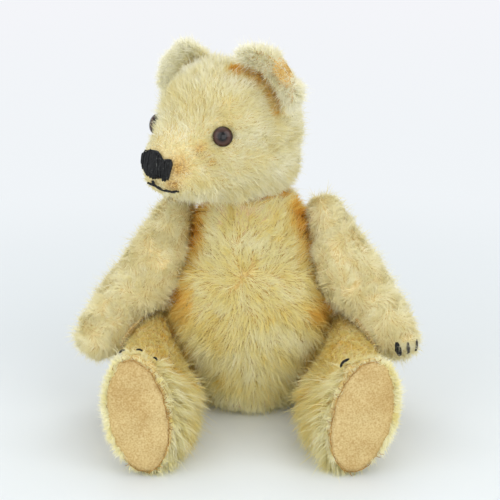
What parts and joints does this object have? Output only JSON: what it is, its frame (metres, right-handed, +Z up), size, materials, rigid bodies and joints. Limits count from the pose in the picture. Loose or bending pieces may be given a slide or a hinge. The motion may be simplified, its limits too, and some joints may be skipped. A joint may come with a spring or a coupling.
{
  "type": "teddy bear",
  "caption": "Small old jointed mohair teddy bear, sitting, with worn plush, a turned head, glass eyes, a stitched nose and felt foot pads.",
  "frame": {"origin": "centre of the flat seat under the body", "axes": "+Z up from the seat, -Y the way the belly faces, +X to the bear's own left"},
  "size_m": [0.142, 0.1115, 0.1568],
  "materials": {
    "body_plush": "worn golden mohair",
    "head_plush": "pale worn mohair",
    "arm_plush": "matted grey-cream mohair",
    "leg_plush": "golden mohair",
    "felt": "felt",
    "black_thread": "stitched thread",
    "glass": "polished",
    "wood_wool": "coarse",
    "board": "pressed board",
    "steel": "dull"
  },
  "bodies": {
    "body": {"body_cover": "body_plush", "body_stuffing": "wood_wool", "hip_left_disc_body": "board", "hip_left_washer_body": "steel", "hip_right_disc_body": "board", "hip_right_washer_body": "steel", "neck_disc_body": "board", "neck_washer_body": "steel", "shoulder_left_disc_body": "board", "shoulder_left_washer_body": "steel", "shoulder_right_disc_body": "board", "shoulder_right_washer_body": "steel"},
    "head": {"ear_left": "head_plush", "ear_right": "head_plush", "eye_left": "glass", "eye_right": "glass", "eye_wire_left": "steel", "eye_wire_right": "steel", "head_cover": "head_plush", "head_stuffing": "wood_wool", "mouth_stitching": "black_thread", "neck_disc_head": "board", "neck_pin": "steel", "neck_washer_head": "steel", "nose_stitching": "black_thread"},
    "arm_left": {"arm_cover_left": "arm_plush", "arm_stuffing_left": "wood_wool", "paw_claw_left_1": "black_thread", "paw_claw_left_2": "black_thread", "paw_claw_left_3": "black_thread", "paw_pad_left": "felt", "shoulder_left_disc_arm": "board", "shoulder_left_pin": "steel", "shoulder_left_washer_arm": "steel"},
    "arm_right": {"arm_cover_right": "arm_plush", "arm_stuffing_right": "wood_wool", "paw_pad_right": "felt", "shoulder_right_disc_arm": "board", "shoulder_right_pin": "steel", "shoulder_right_washer_arm": "steel"},
    "leg_left": {"foot_claw_left_1": "black_thread", "foot_pad_left": "felt", "hip_left_disc_leg": "board", "hip_left_pin": "steel", "hip_left_washer_leg": "steel", "leg_cover_left": "leg_plush", "leg_stuffing_left": "wood_wool"},
    "leg_right": {"foot_claw_right_1": "black_thread", "foot_claw_right_2": "black_thread", "foot_claw_right_3": "black_thread", "foot_pad_right": "felt", "hip_right_disc_leg": "board", "hip_right_pin": "steel", "hip_right_washer_leg": "steel", "leg_cover_right": "leg_plush", "leg_stuffing_right": "wood_wool"}
  },
  "joints": [
    {"name": "neck", "type": "hinge", "parent": "body", "child": "head", "pos_m": [0, 0, 0.093], "axis": [0, 0, 1], "continuous": true},
    {"name": "shoulder_left", "type": "hinge", "parent": "body", "child": "arm_left", "pos_m": [0.0235, 0, 0.0776], "axis": [-0.9613, 0, -0.2756], "range_deg": [-97, 65]},
    {"name": "hip_left", "type": "hinge", "parent": "body", "child": "leg_left", "pos_m": [0.0242, -0.002, 0.02299], "axis": [0.9419, 0.0824, -0.3256], "range_deg": [-7, 180]},
    {"name": "shoulder_right", "type": "hinge", "parent": "body", "child": "arm_right", "pos_m": [-0.0235, 0, 0.0776], "axis": [-0.9613, 0, 0.2756], "range_deg": [-90, 72]},
    {"name": "hip_right", "type": "hinge", "parent": "body", "child": "leg_right", "pos_m": [-0.0242, -0.002, 0.02221], "axis": [0.9707, -0.0849, 0.225], "range_deg": [-8, 180]}
  ]
}
